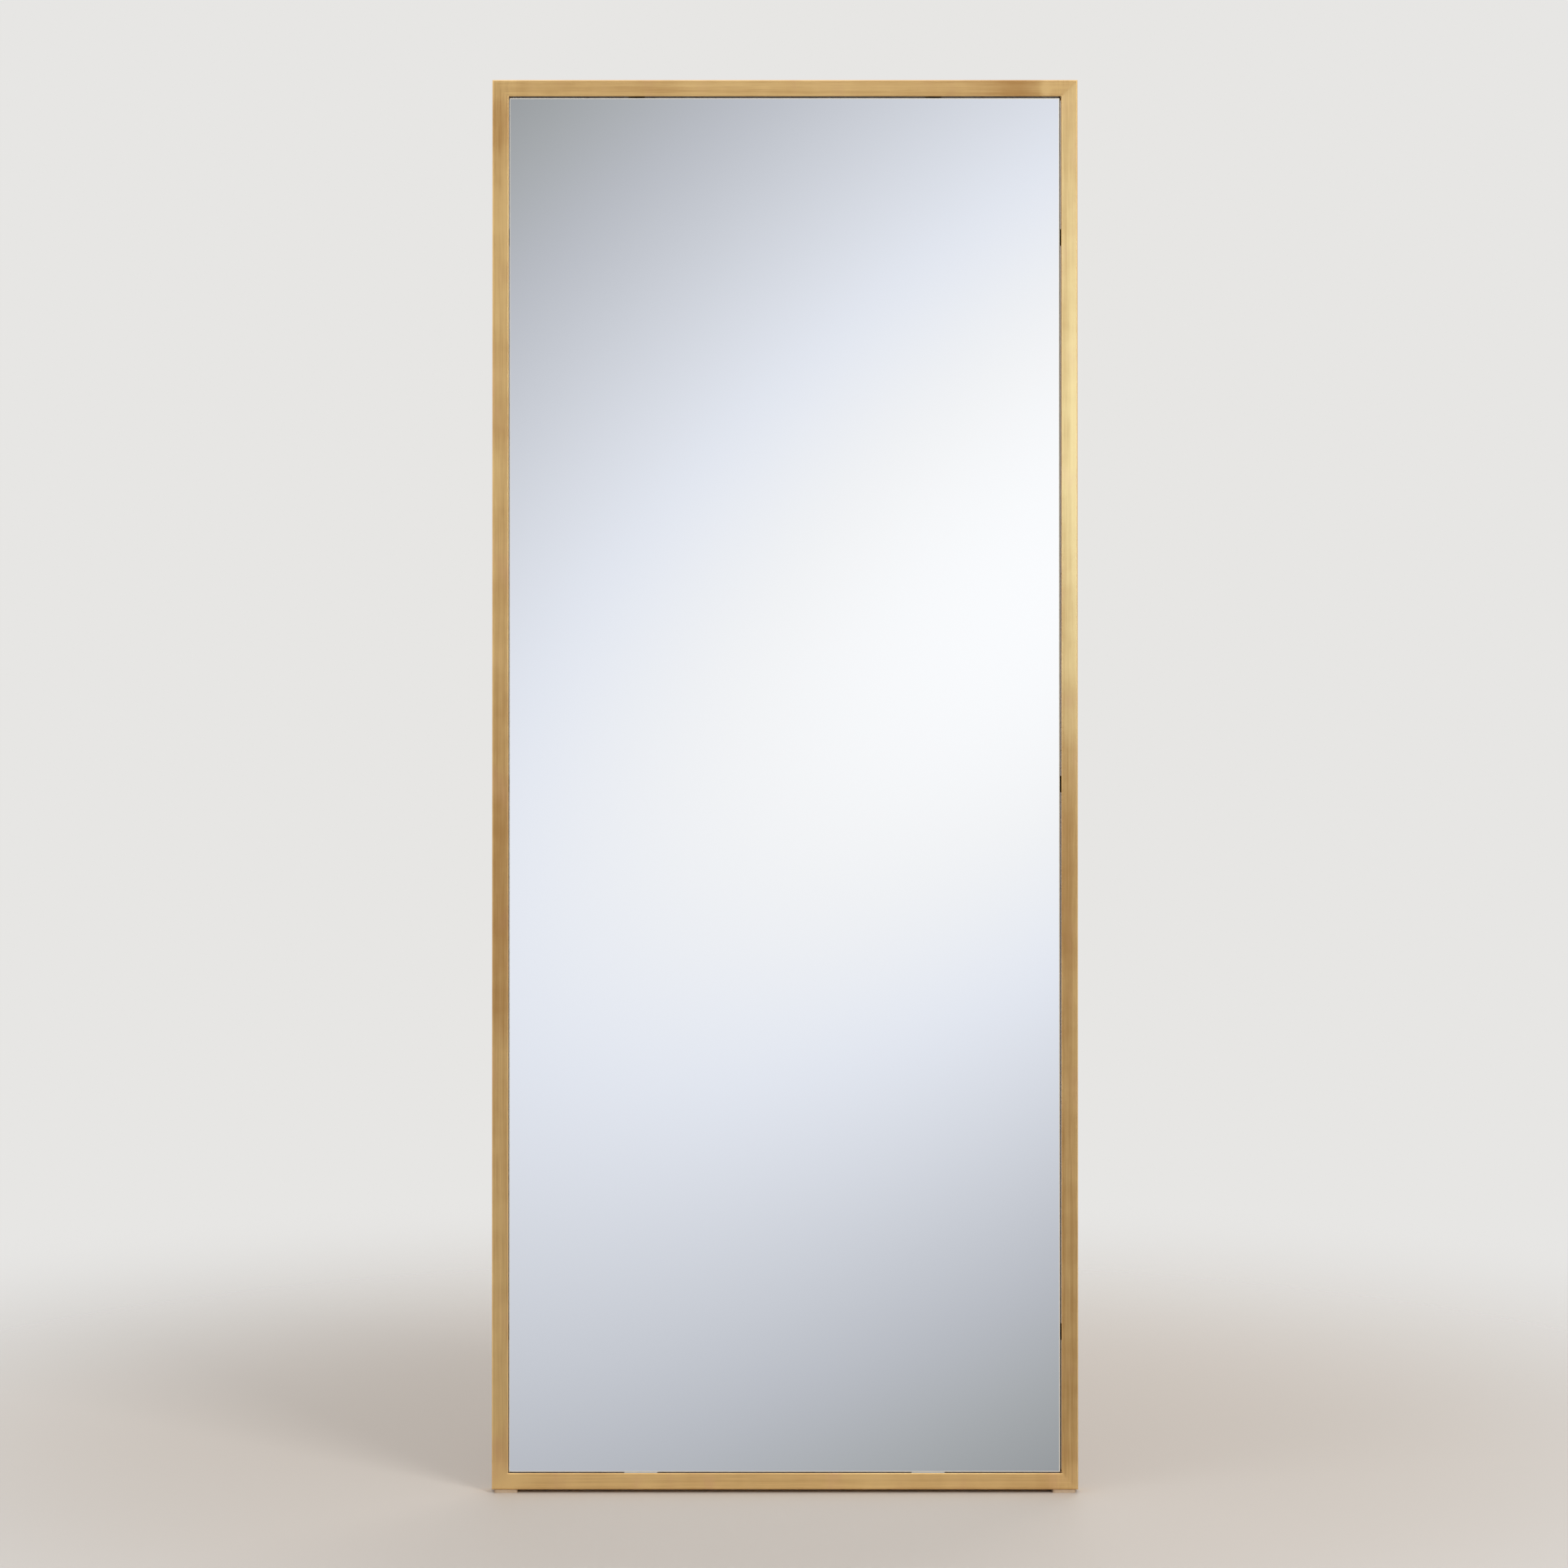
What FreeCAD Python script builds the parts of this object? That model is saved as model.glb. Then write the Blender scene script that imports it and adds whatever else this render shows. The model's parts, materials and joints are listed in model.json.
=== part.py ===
# Leaning floor mirror: a tall sheet of silvered glass in a thin welded frame of brass-finished steel tube.
#
# The frame is four lengths of rectangular tube, mitred and welded at the corners. The glass is stuck to a
# backing board by strips of foam tape, and the two are set into the frame from the front, so that the glass
# lies a little below the frame's face. They rest against steel tabs welded inside the tubes, and one screw
# through each tab holds the board. Two hangers with swinging rings take the wall tether, four rubber
# bumpers keep the frame off the wall, and two pads carry it on the floor.
#
# The pieces are modelled standing upright: X to the right as seen from the front, Y from the front face
# backwards, Z up from the underside of the bottom rail. The last step leans the whole mirror back against
# the wall, with its top towards +Y, and sets the origin halfway along it on the line where the wall, Y = 0,
# meets the floor, Z = 0. Sizes are millimetres.

import FreeCAD, Part
import math
import os

from FreeCAD import Placement, Rotation, Vector

# Frame, as seen from the front, and how far it leans back from upright
FRAME_WIDTH = 711.0
FRAME_HEIGHT = 1711.0
LEAN_DEGREES = 6.0

# Rectangular tube of the frame
TUBE_FACE = 20.0
TUBE_DEPTH = 30.0
TUBE_WALL = 1.2
TUBE_EDGE_RADIUS = 1.5

# Hole in the back of each stile that lets the plating bath drain out of the welded frame
DRAIN_RADIUS = 2.5
DRAIN_HEIGHT = 60.0

# Mirror glass: its front lies below the frame's face, and it stands on shims, pushed to the left
GLASS_RECESS = 2.0
GLASS_THICKNESS = 4.0
GLASS_ARRIS = 0.5
GLASS_GAP_LEFT = 0.6
GLASS_GAP_RIGHT = 2.0
GLASS_GAP_TOP = 2.0
GLASS_GAP_BOTTOM = 1.2

# Shims under the glass
SHIM_LENGTH = 40.0
SHIM_INSET = 160.0

# Foam tape between glass and board
TAPE_COUNT = 4
TAPE_WIDTH = 25.0
TAPE_THICKNESS = 1.0
TAPE_INSET = 45.0

# Backing board
BOARD_THICKNESS = 9.0
BOARD_CLEARANCE = 0.8

# Tabs welded inside the tubes, against the back of the board
TAB_WIDTH = 20.0
TAB_LENGTH = 28.0
TAB_THICKNESS = 2.0
TAB_CLIPPED_CORNER = 6.0
TAB_HOLE_DISTANCE = 18.0
STILE_TABS = 3
STILE_TAB_INSET = 190.0
RAIL_TABS = 2
RAIL_TAB_INSET = 175.0

# Pan-head screws through the tabs and the hangers
SCREW_RADIUS = 1.75
SCREW_LENGTH = 9.5
SCREW_HEAD_RADIUS = 3.6
SCREW_HEAD_TOP_RADIUS = 3.0
SCREW_HEAD_HEIGHT = 2.3
SCREW_PILOT_CLEARANCE = 0.05
SCREW_HOLE_CLEARANCE = 0.4

# Hangers on the backs of the stiles: a steel strap folded round the straight bar of a flat D-shaped ring,
# stamped from plate
HANGER_DROP = 330.0
STRAP_THICKNESS = 1.0
STRAP_WIDTH = 11.0
STRAP_LEG = 22.0
STRAP_CORNER_RADIUS = 3.0
STRAP_FOLD_GAP = 0.1
STRAP_NECK_DEGREES = 50.0
STRAP_NECK_RADIUS = 1.5
STRAP_SCREW_RISE = 11.0
RING_THICKNESS = 2.0
RING_BAND = 2.6
RING_BAR_FIT = 0.1
RING_SIDE_ROOM = 1.0
RING_HEIGHT = 20.0

# Square rubber bumpers on the back, near the corners
BUMPER_INSET = 32.0
BUMPER_SIDE = 15.0
BUMPER_HEIGHT = 6.0
BUMPER_BEVEL = 1.5

# Pads under the ends of the bottom rail, thickest at the front
PAD_LENGTH = 28.0
PAD_DEPTH = 26.0
PAD_REAR_THICKNESS = 1.5
PAD_INSET = 3.0
PAD_CORNER_RADIUS = 3.0

# Where the layers lie, counted from the front face
GLASS_BACK = GLASS_RECESS + GLASS_THICKNESS
BOARD_FRONT = GLASS_BACK + TAPE_THICKNESS
BOARD_BACK = BOARD_FRONT + BOARD_THICKNESS
TAB_BACK = BOARD_BACK + TAB_THICKNESS

OPENING_WIDTH = FRAME_WIDTH - 2 * TUBE_FACE
OPENING_HEIGHT = FRAME_HEIGHT - 2 * TUBE_FACE
STILE_CENTRE = (FRAME_WIDTH - TUBE_FACE) / 2
PILOT_RADIUS = SCREW_RADIUS + SCREW_PILOT_CLEARANCE
SCREW_HOLE_RADIUS = SCREW_RADIUS + SCREW_HOLE_CLEARANCE

# Hanger: the strap's loop rests on the tube, and the ring's bar turns in the middle of the loop
HANGER_HEIGHT = FRAME_HEIGHT - HANGER_DROP
LOOP_RADIUS = math.hypot(RING_THICKNESS, RING_BAND) / 2 + RING_BAR_FIT
LOOP_CENTRE = LOOP_RADIUS + STRAP_THICKNESS
STRAP_BACK = 2 * STRAP_THICKNESS + STRAP_FOLD_GAP

ACROSS = Vector(1, 0, 0)
BACKWARDS = Vector(0, 1, 0)
UP = Vector(0, 0, 1)

# The frame's sides. Each is drawn as the bottom one and turned about the middle of the frame:
# side: (length, distance from the middle of the frame to the outer face, turn in degrees)
SIDES = {
    "bottom": (FRAME_WIDTH, FRAME_HEIGHT / 2, 0),
    "left": (FRAME_HEIGHT, FRAME_WIDTH / 2, 90),
    "top": (FRAME_WIDTH, FRAME_HEIGHT / 2, 180),
    "right": (FRAME_HEIGHT, FRAME_WIDTH / 2, 270),
}
HANDS = {"left": -1, "right": 1}


def on_side(shape, side):
    """Turns a shape drawn on the bottom side, about the middle of the frame, to another side."""
    _, _, turn = SIDES[side]
    return shape.transformed(Placement(UP * FRAME_HEIGHT / 2, Rotation(BACKWARDS, turn)).toMatrix())


def spread(count, half_span):
    """Evenly spaced places from -half_span to half_span."""
    step = 2 * half_span / (count - 1)
    return [index * step - half_span for index in range(count)]


def polygon_face(points):
    """Flat face with straight sides through the points."""
    return Part.Face(Part.makePolygon([*points, points[0]]))


def rectangle(corner, along, up):
    """Flat face from corner, with the sides along and up."""
    return polygon_face([corner, corner + along, corner + along + up, corner + up])


def rounded_rectangle(corner, along, up, radius):
    """Flat face from corner, with the sides along and up and rounded corners."""
    inset_along = Vector(along).normalize() * radius
    inset_up = Vector(up).normalize() * radius
    core = rectangle(corner + inset_along + inset_up, along - inset_along * 2, up - inset_up * 2)
    return core.makeOffset2D(radius)


def bent_line(start, heading, hinge, moves):
    """Wire from start towards heading. A move is (length, 0), or (radius, turn about hinge in degrees)."""
    place = start
    edges = []
    for size, turn in moves:
        if turn:
            arm = hinge.cross(heading) * math.copysign(size, turn)
            halfway, end = [
                place + arm - Rotation(hinge, turn * share).multVec(arm) for share in (0.5, 1)
            ]
            edges.append(Part.Arc(place, halfway, end).toShape())
            heading = Rotation(hinge, turn).multVec(heading)
        else:
            end = place + heading * size
            edges.append(Part.LineSegment(place, end).toShape())
        place = end
    return Part.Wire(edges)


def rod(radius, start, direction, length):
    """Round bar, also used to drill holes."""
    return Part.makeCylinder(radius, length, start, direction)


def mitred_tube(side):
    """One side of the frame: hollow tube with both ends cut at 45 degrees, longest along its outer face."""
    length, reach, _ = SIDES[side]
    start = Vector(-length / 2, 0, -reach)
    wall = Vector(0, TUBE_WALL, TUBE_WALL)
    outside = rounded_rectangle(start, BACKWARDS * TUBE_DEPTH, UP * TUBE_FACE, TUBE_EDGE_RADIUS)
    inside = rectangle(
        start + wall, BACKWARDS * (TUBE_DEPTH - 2 * TUBE_WALL), UP * (TUBE_FACE - 2 * TUBE_WALL)
    )
    tube = outside.cut(inside).extrude(ACROSS * length)
    inner_side = start + ACROSS * TUBE_FACE + UP * TUBE_FACE
    mitres = polygon_face(
        [start, start + ACROSS * length, inner_side + ACROSS * (length - 2 * TUBE_FACE), inner_side]
    )
    return on_side(tube.common(mitres.extrude(BACKWARDS * TUBE_DEPTH)).Solids[0], side)


def stile(name):
    """Side tube of the frame, its back wall drilled for the drain and for the hanger's screw."""
    drills = [(DRAIN_RADIUS, DRAIN_HEIGHT), (PILOT_RADIUS, HANGER_HEIGHT + STRAP_SCREW_RISE)]
    back = Vector(HANDS[name] * STILE_CENTRE, TUBE_DEPTH, 0)
    holes = [rod(radius, back + UP * height, -BACKWARDS, 2 * TUBE_WALL) for radius, height in drills]
    return mitred_tube(name).cut(Part.makeCompound(holes)).Solids[0]


def glass_box():
    """Lower left front corner of the glass, with its width and height."""
    corner = Vector(GLASS_GAP_LEFT - OPENING_WIDTH / 2, GLASS_RECESS, TUBE_FACE + GLASS_GAP_BOTTOM)
    width = OPENING_WIDTH - GLASS_GAP_LEFT - GLASS_GAP_RIGHT
    height = OPENING_HEIGHT - GLASS_GAP_TOP - GLASS_GAP_BOTTOM
    return corner, width, height


def mirror_glass():
    """Silvered sheet, with the sharp edges of both faces ground to a narrow arris."""
    corner, width, height = glass_box()
    sheet = Part.makeBox(width, GLASS_THICKNESS, height, corner)
    rims = [edge for edge in sheet.Edges if edge.Length > GLASS_THICKNESS + GLASS_ARRIS]
    return sheet.makeChamfer(GLASS_ARRIS, rims)


def glass_shim(hand):
    """Thin block that lifts the glass off the bottom rail."""
    corner, width, _ = glass_box()
    middle = corner.x + width / 2 + hand * (width / 2 - SHIM_INSET)
    start = Vector(middle - SHIM_LENGTH / 2, GLASS_RECESS + GLASS_ARRIS, TUBE_FACE)
    return Part.makeBox(SHIM_LENGTH, GLASS_THICKNESS - 2 * GLASS_ARRIS, GLASS_GAP_BOTTOM, start)


def foam_tape(offset):
    """Upright strip of double-sided foam tape that bonds the glass to the board."""
    corner, width, height = glass_box()
    start = Vector(corner.x + width / 2 + offset - TAPE_WIDTH / 2, GLASS_BACK, corner.z + TAPE_INSET)
    return Part.makeBox(TAPE_WIDTH, TAPE_THICKNESS, height - 2 * TAPE_INSET, start)


def foam_tapes():
    """All strips of foam tape, from left to right."""
    _, width, _ = glass_box()
    offsets = spread(TAPE_COUNT, width / 2 - TAPE_INSET)
    return {f"foam_tape_{number}": foam_tape(offset) for number, offset in enumerate(offsets, start=1)}


def tab_places():
    """Side of each tab and its place along that side."""
    places = {}
    for side, (length, _, turn) in SIDES.items():
        upright = turn in (90, 270)
        count = STILE_TABS if upright else RAIL_TABS
        inset = STILE_TAB_INSET if upright else RAIL_TAB_INSET
        for number, offset in enumerate(spread(count, length / 2 - inset), start=1):
            places[f"fixing_tab_{side}_{number}"] = (side, offset)
    return places


def fixing_tab(side, offset):
    """Flat steel tab with clipped corners and a hole for its screw, welded to the tube at its root."""
    _, reach, _ = SIDES[side]
    root = Vector(offset, BOARD_BACK, TUBE_FACE - reach)
    half = ACROSS * TAB_WIDTH / 2
    end = root + UP * TAB_LENGTH
    clip_across = ACROSS * TAB_CLIPPED_CORNER
    clip_down = UP * -TAB_CLIPPED_CORNER
    outline = polygon_face(
        [root - half, root + half, end + half + clip_down, end + half - clip_across]
        + [end - half + clip_across, end - half + clip_down]
    )
    hole = rod(SCREW_HOLE_RADIUS, root + UP * TAB_HOLE_DISTANCE, BACKWARDS, TAB_THICKNESS)
    return on_side(outline.extrude(BACKWARDS * TAB_THICKNESS).cut(hole).Solids[0], side)


def tab_screw_seats():
    """Points on the back faces of the tabs, in the middle of their holes."""
    seats = []
    for side, offset in tab_places().values():
        _, reach, _ = SIDES[side]
        seat = Part.Vertex(offset, TAB_BACK, TUBE_FACE - reach + TAB_HOLE_DISTANCE)
        seats.append(on_side(seat, side).Point)
    return seats


def backing_board():
    """Fibreboard panel that fills the opening behind the glass, with a pilot hole for each tab screw."""
    width = OPENING_WIDTH - 2 * BOARD_CLEARANCE
    height = OPENING_HEIGHT - 2 * BOARD_CLEARANCE
    corner = Vector(-width / 2, BOARD_FRONT, TUBE_FACE + BOARD_CLEARANCE)
    pilots = [rod(PILOT_RADIUS, seat, -BACKWARDS, SCREW_LENGTH) for seat in tab_screw_seats()]
    return Part.makeBox(width, BOARD_THICKNESS, height, corner).cut(Part.makeCompound(pilots)).Solids[0]


def pan_head_screw(seat):
    """Screw driven forwards, with the underside of its head at seat."""
    profile = polygon_face(
        [
            Vector(0, -SCREW_LENGTH, 0),
            Vector(SCREW_RADIUS, -SCREW_LENGTH, 0),
            Vector(SCREW_RADIUS, 0, 0),
            Vector(SCREW_HEAD_RADIUS, 0, 0),
            Vector(SCREW_HEAD_TOP_RADIUS, SCREW_HEAD_HEIGHT, 0),
            Vector(0, SCREW_HEAD_HEIGHT, 0),
        ]
    )
    return profile.revolve(Vector(0, 0, 0), BACKWARDS, 360).translated(seat)


def screw_group(seats):
    """Identical screws as one group of separate solids."""
    return Part.makeCompound([pan_head_screw(seat) for seat in seats])


def hanger_seats():
    """Points on the backs of the two hanger straps, in the middle of their holes."""
    height = HANGER_HEIGHT + STRAP_SCREW_RISE
    return [Vector(hand * STILE_CENTRE, TUBE_DEPTH + STRAP_BACK, height) for hand in HANDS.values()]


def strap_fold():
    """Middle line of the folded strap, seen from its side: down the first leg, round the bar and back up."""
    bend = LOOP_RADIUS + STRAP_THICKNESS / 2
    neck = math.radians(STRAP_NECK_DEGREES)
    second_leg = STRAP_BACK - STRAP_THICKNESS / 2
    closing = LOOP_CENTRE + bend * math.cos(neck) - second_leg - STRAP_NECK_RADIUS * (1 - math.cos(neck))
    slope = closing / math.sin(neck)
    neck_rise = (bend + STRAP_NECK_RADIUS) * math.sin(neck) + slope * math.cos(neck)
    moves = [
        (STRAP_LEG, 0),
        (bend, 180 + STRAP_NECK_DEGREES),
        (slope, 0),
        (STRAP_NECK_RADIUS, -STRAP_NECK_DEGREES),
        (STRAP_LEG - neck_rise, 0),
    ]
    return bent_line(Vector(0, STRAP_THICKNESS / 2, STRAP_LEG), -UP, ACROSS, moves)


def hanger_strap(hand):
    """Steel strap folded round the ring's bar: two legs pressed together, a neck, and a round loop below."""
    width = ACROSS * STRAP_WIDTH
    end = UP * STRAP_LEG - width / 2
    section = rectangle(end, width, BACKWARDS * STRAP_THICKNESS)
    strap = strap_fold().makePipeShell([section.OuterWire], True, True)
    length = STRAP_LEG + LOOP_CENTRE + STRAP_CORNER_RADIUS
    outline = rounded_rectangle(end, width, UP * -length, STRAP_CORNER_RADIUS)
    hole = rod(SCREW_HOLE_RADIUS, UP * STRAP_SCREW_RISE, BACKWARDS, STRAP_BACK)
    strap = strap.common(outline.extrude(BACKWARDS * 2 * LOOP_CENTRE)).cut(hole).Solids[0]
    return strap.translated(Vector(hand * STILE_CENTRE, TUBE_DEPTH, HANGER_HEIGHT))


def ring_outline(half_width, top, height):
    """D-shaped face in the XZ plane: square at the top, with a half-round bow below."""
    sides = height - half_width
    start = Vector(-half_width, 0, top)
    corner = start + ACROSS * 2 * half_width
    bow = bent_line(corner, -UP, BACKWARDS, [(sides, 0), (half_width, 180), (sides, 0)])
    return Part.Face(Part.Wire([Part.LineSegment(start, corner).toShape(), *bow.Edges]))


def hanger_ring(hand):
    """Flat ring stamped from plate: a straight bar, two sides and a half-round bow. It hangs plumb."""
    half_eye = STRAP_WIDTH / 2 + RING_SIDE_ROOM
    half_band = RING_BAND / 2
    outside = ring_outline(half_eye + RING_BAND, half_band, RING_HEIGHT)
    eye = ring_outline(half_eye, -half_band, RING_HEIGHT - 2 * RING_BAND)
    ring = outside.cut(eye).extrude(BACKWARDS * RING_THICKNESS).translated(BACKWARDS * -RING_THICKNESS / 2)
    place = Vector(hand * STILE_CENTRE, TUBE_DEPTH + LOOP_CENTRE, HANGER_HEIGHT)
    return ring.Solids[0].transformed(Placement(place, Rotation(ACROSS, LEAN_DEGREES)).toMatrix())


def wall_bumper(hand, height):
    """Square rubber bumper with a bevelled tip, stuck to the back of a stile."""
    half = Vector(BUMPER_SIDE / 2, 0, BUMPER_SIDE / 2)
    block = Part.makeBox(BUMPER_SIDE, BUMPER_HEIGHT, BUMPER_SIDE, -half)
    tip = max(block.Faces, key=lambda face: face.CenterOfMass.y)
    bumper = block.makeChamfer(BUMPER_BEVEL, tip.Edges)
    return bumper.translated(Vector(hand * STILE_CENTRE, TUBE_DEPTH, height))


def floor_pad(hand):
    """Pad under one end of the bottom rail, its sole cut at the lean so that it stands flat on the floor."""
    middle = hand * (FRAME_WIDTH / 2 - PAD_INSET - PAD_LENGTH / 2)
    corner = Vector(middle - PAD_LENGTH / 2, (TUBE_DEPTH - PAD_DEPTH) / 2, 0)
    front_thickness = PAD_REAR_THICKNESS + PAD_DEPTH * math.tan(math.radians(LEAN_DEGREES))
    rear = corner + BACKWARDS * PAD_DEPTH
    wedge = polygon_face([corner, rear, rear - UP * PAD_REAR_THICKNESS, corner - UP * front_thickness])
    outline = rounded_rectangle(corner, ACROSS * PAD_LENGTH, BACKWARDS * PAD_DEPTH, PAD_CORNER_RADIUS)
    return wedge.extrude(ACROSS * PAD_LENGTH).common(outline.extrude(UP * -front_thickness)).Solids[0]


def upright_mirror():
    """Every piece by name, with the mirror standing upright."""
    pieces = {
        "top_rail": mitred_tube("top"),
        "bottom_rail": mitred_tube("bottom"),
        "mirror_glass": mirror_glass(),
        "backing_board": backing_board(),
        "tab_screws": screw_group(tab_screw_seats()),
        "hanger_screws": screw_group(hanger_seats()),
        **foam_tapes(),
    }
    for name, (side, offset) in tab_places().items():
        pieces[name] = fixing_tab(side, offset)
    for name, hand in HANDS.items():
        pieces[name + "_stile"] = stile(name)
        pieces["glass_shim_" + name] = glass_shim(hand)
        pieces["hanger_strap_" + name] = hanger_strap(hand)
        pieces["hanger_ring_" + name] = hanger_ring(hand)
        pieces["wall_bumper_top_" + name] = wall_bumper(hand, FRAME_HEIGHT - BUMPER_INSET)
        pieces["wall_bumper_bottom_" + name] = wall_bumper(hand, BUMPER_INSET)
        pieces["floor_pad_" + name] = floor_pad(hand)
    return pieces


def leaning_place(pieces):
    """Placement that leans the upright mirror back and sets it against the wall and on the floor."""
    lean = Rotation(ACROSS, -LEAN_DEGREES)
    whole = Part.makeCompound(list(pieces.values()))
    box = whole.transformed(Placement(Vector(0, 0, 0), lean).toMatrix()).optimalBoundingBox(True, False)
    return Placement(Vector(-box.Center.x, -box.YMax, -box.ZMin), lean)


def main():
    """Builds the mirror, leans it and writes one STEP file for each piece."""
    pieces = upright_mirror()
    place = leaning_place(pieces).toMatrix()
    os.makedirs("parts", exist_ok=True)
    for name, shape in pieces.items():
        leaning = shape.transformed(place)
        leaning.exportStep(f"parts/{name}.step")
        print(f"{name}: {len(leaning.Solids)} solids, {leaning.Volume / 1000:.2f} cm3")


main()
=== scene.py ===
"""Looks of a tall floor mirror that leans on a wall.

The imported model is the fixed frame. This script gives every piece its finish, adds the small fasteners and
the weld beads, and sets up a plain pale studio with the camera in front. Points named upright are in
millimetres, with the mirror turned back until it stands upright: X to the right as seen from the front,
Y from the front face backwards, and Z up from the underside of the frame. Points named world are in metres.
"""

import json
import logging
import math
from dataclasses import dataclass, field
from enum import Enum
from typing import Any

import bmesh
import bpy
import numpy as np
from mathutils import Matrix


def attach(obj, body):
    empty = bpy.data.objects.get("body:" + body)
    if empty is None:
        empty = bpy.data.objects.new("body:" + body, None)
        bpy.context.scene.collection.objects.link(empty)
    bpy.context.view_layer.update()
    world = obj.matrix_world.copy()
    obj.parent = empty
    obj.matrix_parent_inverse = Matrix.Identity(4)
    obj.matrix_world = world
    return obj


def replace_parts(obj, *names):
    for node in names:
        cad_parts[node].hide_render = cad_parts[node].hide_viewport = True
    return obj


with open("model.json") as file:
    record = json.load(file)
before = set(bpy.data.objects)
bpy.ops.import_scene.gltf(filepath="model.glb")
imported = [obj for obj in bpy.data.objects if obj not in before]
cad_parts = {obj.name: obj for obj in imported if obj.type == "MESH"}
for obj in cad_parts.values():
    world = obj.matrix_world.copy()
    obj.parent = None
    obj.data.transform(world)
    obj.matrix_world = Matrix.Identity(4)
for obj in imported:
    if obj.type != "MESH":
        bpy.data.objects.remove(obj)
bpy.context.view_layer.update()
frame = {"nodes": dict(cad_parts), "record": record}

log = logging.getLogger("mirror")

MM = 0.001
MERGE_DISTANCE = 0.002 * MM
MAIN_BODY = "mirror"


# ---- Places ----


@dataclass(frozen=True)
class Upright:
    """How the leaning mirror turns back to upright millimetres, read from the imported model."""

    lean: float
    shift: tuple[float, float, float]
    width: float
    height: float
    depth: float

    @staticmethod
    def turn(lean: float) -> np.ndarray:
        """The matrix that turns points about X by the lean, in radians."""
        cos, sin = math.cos(lean), math.sin(lean)
        return np.array([[1, 0, 0], [0, cos, -sin], [0, sin, cos]])

    @classmethod
    def read(cls) -> "Upright":
        """Finds the lean from a wall mount's axis, and the sizes from the four tubes."""
        mounts = {mount["name"]: mount for mount in frame["record"]["mounts"]}
        _, back, up = mounts["wall_top_left"]["axis"]
        lean = math.atan2(-up, back)
        tubes = [vertices_of(name) for name in ("left_stile", "right_stile", "top_rail", "bottom_rail")]
        turned = np.concatenate(tubes) @ cls.turn(lean).T / MM
        low, high = turned.min(0), turned.max(0)
        width, depth, height = high - low
        return cls(lean, (-(low[0] + high[0]) / 2, -low[1], -low[2]), width, height, depth)

    def to_upright(self, world: np.ndarray) -> np.ndarray:
        """World metres to upright millimetres."""
        return world @ self.turn(self.lean).T / MM + np.array(self.shift)

    def to_world(self, upright: np.ndarray) -> np.ndarray:
        """Upright millimetres to world metres."""
        return (upright - np.array(self.shift)) @ self.turn(self.lean) * MM

    def box(self, node: str) -> tuple[np.ndarray, np.ndarray]:
        """Lowest and highest corner of a node, upright."""
        points = self.to_upright(vertices_of(node))
        return points.min(0), points.max(0)

    def facing(self) -> tuple[float, float, float]:
        """World direction in which the front of the mirror looks."""
        return (0.0, -math.cos(self.lean), math.sin(self.lean))

    def along_stiles(self) -> tuple[float, float, float]:
        """World direction of the two stiles, upwards."""
        return (0.0, math.sin(self.lean), math.cos(self.lean))


def vertices_of(node: str) -> np.ndarray:
    """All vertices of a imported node.

    Args:
        node: The node's name.

    Returns:
        An array of points, one a row, in world metres.
    """
    mesh = frame["nodes"][node].data
    points = np.empty(len(mesh.vertices) * 3, np.float32)
    mesh.vertices.foreach_get("co", points)
    return points.reshape(-1, 3).astype(float)


def nodes_named(start: str) -> list[str]:
    """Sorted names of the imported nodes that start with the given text."""
    return sorted(name for name in frame["nodes"] if name.startswith(start))


# ---- Meshes ----


def smooth_step(value: np.ndarray, low: float, high: float) -> np.ndarray:
    """Rises smoothly from 0 at low to 1 at high: 3t squared less 2t cubed, with t clamped."""
    share = np.clip((value - low) / (high - low), 0, 1)
    return share * share * (3 - 2 * share)


def closed_grid(points: np.ndarray) -> tuple[np.ndarray, np.ndarray]:
    """Quads of one tube-like surface whose columns go round and whose end rows shrink to a point.

    Args:
        points: Array of rows by columns by 3.

    Returns:
        The points in a list, and four corner numbers for each quad.
    """
    rows, columns, _ = points.shape
    row, column = np.meshgrid(np.arange(rows - 1), np.arange(columns), indexing="ij")
    after = (column + 1) % columns
    corners = [row * columns + column, row * columns + after]
    corners += [(row + 1) * columns + after, (row + 1) * columns + column]
    return points.reshape(-1, 3), np.stack(corners, axis=-1).reshape(-1, 4)


def make_piece(name: str, surfaces: list[np.ndarray], place: Upright) -> bpy.types.Object:
    """One object from closed grids given in upright millimetres.

    Args:
        name: The piece's name.
        surfaces: One array of rows by columns by 3 for each closed surface.
        place: How upright points turn to world points.

    Returns:
        The new object, smooth, with its doubles merged and its faces pointing outwards.
    """
    grids = [closed_grid(surface) for surface in surfaces]
    starts = np.cumsum([0] + [len(points) for points, _ in grids[:-1]])
    points = place.to_world(np.concatenate([points for points, _ in grids]))
    quads = np.concatenate([quads + start for (_, quads), start in zip(grids, starts)])
    mesh = bpy.data.meshes.new(name)
    mesh.from_pydata(points, [], quads.tolist())
    cleaner = bmesh.new()
    cleaner.from_mesh(mesh)
    bmesh.ops.remove_doubles(cleaner, verts=cleaner.verts, dist=MERGE_DISTANCE)
    bmesh.ops.recalc_face_normals(cleaner, faces=cleaner.faces)
    cleaner.to_mesh(mesh)
    cleaner.free()
    mesh.polygons.foreach_set("use_smooth", np.ones(len(mesh.polygons), bool))
    piece = bpy.data.objects.new(name, mesh)
    bpy.context.scene.collection.objects.link(piece)
    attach(piece, MAIN_BODY)
    return piece


# ---- Node trees ----

# Settings of a Map Range node that eases in and out, and of a Mix node for colours
SMOOTHLY = {"interpolation_type": "SMOOTHSTEP"}
COLOURS = {"data_type": "RGBA"}

# Start and end of a value, and what it is mapped to at each
Ramp = tuple[float, float, float, float]


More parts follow.
